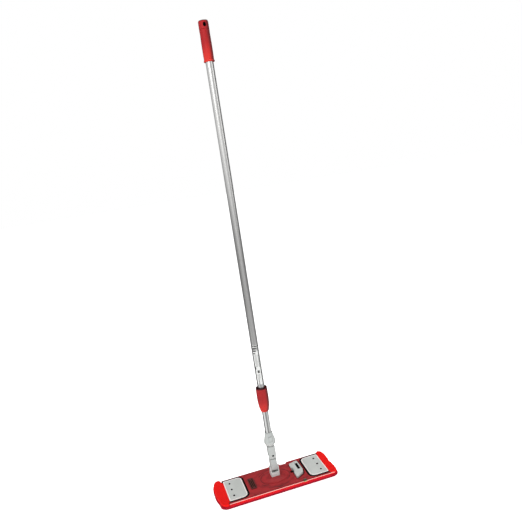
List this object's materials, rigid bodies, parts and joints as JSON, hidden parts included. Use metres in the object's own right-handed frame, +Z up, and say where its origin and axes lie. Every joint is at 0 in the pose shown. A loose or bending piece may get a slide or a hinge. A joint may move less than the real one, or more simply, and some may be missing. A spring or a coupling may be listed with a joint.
{
  "type": "flat mop",
  "caption": "Flat mop: folding plastic head with rocker clamps and foot pedal, red microfibre cover, swivel joint, telescopic aluminium handle with twist collar and grip.",
  "frame": {"origin": "on the floor, on the underside of the mop cover, straight below the swivel joint", "axes": "+Z up along the handle, +X to the right along the head towards the release pedal, +Y to the back edge with the notch"},
  "size_m": [0.422, 0.15, 1.5666],
  "materials": {
    "frame_red": "fine moulded texture",
    "handle_red": "semi-gloss moulded",
    "cloth_red": "microfibre pile and woven flaps",
    "clamp_grey": "fine moulded texture",
    "joint_grey": "satin moulded",
    "aluminium": "drawn and anodised",
    "steel": "bright",
    "black": "moulded"
  },
  "bodies": {
    "frame": {"centre_frame": "frame_red", "mop_pad": "cloth_red", "left_flap": "cloth_red", "hub_dome": "frame_red", "blank_badge": "frame_red", "left_stud_strip": "black", "left_clamp_pin": "steel", "left_clamp_spring": "steel", "fold_pin": "steel", "catch_plate": "steel", "foot_fork": "joint_grey", "foot_screw_front": "steel", "foot_screw_back": "steel", "lower_pin": "steel"},
    "wing": {"right_wing": "frame_red", "mop_pad_wing": "cloth_red", "right_flap": "cloth_red", "right_stud_strip": "black", "right_clamp_pin": "steel", "right_clamp_spring": "steel", "pedal_pin": "steel", "pedal_spring": "steel"},
    "left_clamp": {"left_clamp": "clamp_grey"},
    "right_clamp": {"right_clamp": "clamp_grey"},
    "pedal": {"release_pedal": "clamp_grey", "latch_hook": "steel"},
    "link": {"link_block": "joint_grey"},
    "lower_pole": {"swivel_fork": "joint_grey", "upper_pin": "steel", "handle_socket": "joint_grey", "button_spring": "steel", "inner_tube": "aluminium", "tube_end_plug": "black"},
    "button": {"socket_button": "joint_grey"},
    "upper_pole": {"outer_tube": "aluminium", "collet_sleeve": "black", "grip": "handle_red", "grip_end_cap": "handle_red"},
    "lock_collar": {"lock_collar": "handle_red"}
  },
  "joints": [
    {"name": "fore_aft_tilt", "type": "hinge", "parent": "frame", "child": "link", "pos_m": [0, 0, 0.0583], "axis": [1, 0, 0], "range_deg": [-75, 75]},
    {"name": "side_tilt", "type": "hinge", "parent": "link", "child": "lower_pole", "pos_m": [0, 0, 0.1083], "axis": [0, 1, 0], "range_deg": [-60, 60]},
    {"name": "telescope", "type": "slide", "parent": "lower_pole", "child": "upper_pole", "axis": [0, 0, 1], "range_m": [-0.06, 0.7]},
    {"name": "collar_twist", "type": "hinge", "parent": "upper_pole", "child": "lock_collar", "pos_m": [0, 0, 0.2753], "axis": [0, 0, 1], "range_deg": [0, 90]},
    {"name": "socket_button_press", "type": "slide", "parent": "lower_pole", "child": "button", "axis": [0, 1, 0], "range_m": [0, 0.0022], "stiffness_N_per_m": 150, "springref_m": -0.003, "deforming": ["button_spring"]},
    {"name": "left_clamp_tilt", "type": "hinge", "parent": "frame", "child": "left_clamp", "pos_m": [-0.14, 0, 0.016], "axis": [0, 1, 0], "range_deg": [0, 12], "stiffness_Nm_per_rad": 0.6, "springref_deg": -8.59, "deforming": ["left_clamp_spring"]},
    {"name": "right_clamp_tilt", "type": "hinge", "parent": "wing", "child": "right_clamp", "pos_m": [0.14, 0, 0.016], "axis": [0, -1, 0], "range_deg": [0, 12], "stiffness_Nm_per_rad": 0.6, "springref_deg": -8.59, "deforming": ["right_clamp_spring"]},
    {"name": "wing_fold", "type": "hinge", "parent": "frame", "child": "wing", "pos_m": [0.054, 0, 0.0134], "axis": [0, 1, 0], "range_deg": [0, 75], "deforming": ["mop_pad_wing"]},
    {"name": "release_pedal_press", "type": "hinge", "parent": "wing", "child": "pedal", "pos_m": [0.0728, 0, 0.0165], "axis": [0, 1, 0], "range_deg": [0, 8], "stiffness_Nm_per_rad": 0.8, "springref_deg": -6.88, "deforming": ["pedal_spring"]}
  ]
}
